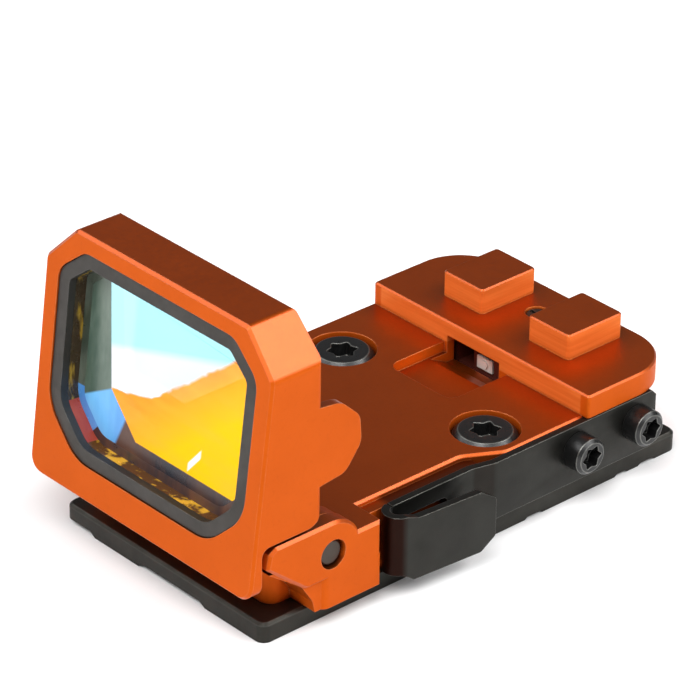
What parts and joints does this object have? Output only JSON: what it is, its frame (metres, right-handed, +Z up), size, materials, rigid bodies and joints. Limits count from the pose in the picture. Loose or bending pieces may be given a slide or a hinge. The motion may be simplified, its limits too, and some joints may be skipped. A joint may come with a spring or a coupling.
{
  "type": "miniature reflex sight",
  "caption": "Compact red dot finder: machined orange base on a dark plate, with a clear-lens hood that folds flat towards the rear and a sprung side latch.",
  "frame": {"origin": "middle of the mounting plate's underside", "axes": "+Z up, -Y towards the target (the lens hood), +Y towards the eye (the rear block), +X on the side of the latch"},
  "size_m": [0.0301, 0.0502, 0.0284],
  "materials": {
    "orange_anodised": "satin orange anodised, machined",
    "black_anodised": "satin black anodised",
    "grey_bezel": "satin dark grey anodised",
    "black_spring_steel": "blackened spring steel",
    "black_steel": "blackened steel",
    "dark_steel": "dark oxide",
    "spring_steel": "bright spring wire",
    "coated_glass": "clear with a dichroic coating",
    "gasket_rubber": "matt black",
    "cell_steel": "bright nickel-plated",
    "contact_brass": "plain",
    "board_laminate": "green glass-fibre laminate",
    "dark_aluminium": "matt dark anodised",
    "led_ceramic": "white ceramic",
    "button_rubber": "matt black",
    "switch_plastic": "black"
  },
  "bodies": {
    "housing": {"base_housing": "orange_anodised", "mounting_plate": "black_anodised", "plate_gasket": "gasket_rubber", "deck_screws": "black_steel", "hinge_pin_left": "dark_steel", "hinge_pin_right": "dark_steel", "torsion_spring_left": "spring_steel", "torsion_spring_right": "spring_steel", "latch_spring": "black_spring_steel", "latch_screws": "black_steel", "coin_cell": "cell_steel", "battery_contact_positive": "contact_brass", "battery_contact_negative": "contact_brass", "circuit_board": "board_laminate", "lift_spring": "spring_steel", "button_switch": "switch_plastic"},
    "hood": {"lens_hood": "orange_anodised", "lens_bezel": "grey_bezel", "front_lens": "coated_glass", "rear_lens": "coated_glass", "lens_gasket": "gasket_rubber", "lens_spacer": "dark_aluminium"},
    "latch": {"latch_arm": "black_spring_steel"},
    "elevation_adjuster": {"elevation_screw": "dark_steel"},
    "windage_adjuster": {"windage_screw": "dark_steel"},
    "emitter_lift": {"emitter_lift_frame": "dark_aluminium", "shift_spring": "spring_steel"},
    "emitter_shift": {"emitter_carriage": "dark_aluminium", "emitter_led": "led_ceramic"},
    "button": {"brightness_button": "button_rubber"}
  },
  "joints": [
    {"name": "hood_fold", "type": "hinge", "parent": "housing", "child": "hood", "pos_m": [0, -0.0176, 0.0068], "axis": [-1, 0, 0], "range_deg": [0, 90], "stiffness_Nm_per_rad": 0.003, "springref_deg": -28.65},
    {"name": "latch_flex", "type": "hinge", "parent": "housing", "child": "latch", "pos_m": [0.01265, -0.01015, 0.0049], "axis": [0, 0, -1], "range_deg": [0, 7], "stiffness_Nm_per_rad": 0.01},
    {"name": "elevation_turn", "type": "hinge", "parent": "housing", "child": "elevation_adjuster", "pos_m": [0, 0.0188, 0.0094], "axis": [0, 0, 1], "range_deg": [-360, 360]},
    {"name": "windage_turn", "type": "hinge", "parent": "housing", "child": "windage_adjuster", "pos_m": [-0.0097, 0.01535, 0.0068], "axis": [1, 0, 0], "range_deg": [-360, 360]},
    {"name": "emitter_lift_slide", "type": "slide", "parent": "housing", "child": "emitter_lift", "axis": [0, 0, 1], "range_m": [-0.00025, 0.00025]},
    {"name": "emitter_shift_slide", "type": "slide", "parent": "emitter_lift", "child": "emitter_shift", "axis": [1, 0, 0], "range_m": [-0.00025, 0.00025]},
    {"name": "button_press", "type": "slide", "parent": "housing", "child": "button", "axis": [1, 0, 0], "range_m": [0, 0.0004], "stiffness_N_per_m": 400}
  ],
  "couplings": [
    {"joint": "elevation_turn", "follows": "emitter_lift_slide", "rad_per_m": 25133},
    {"joint": "windage_turn", "follows": "emitter_shift_slide", "rad_per_m": 25133}
  ]
}
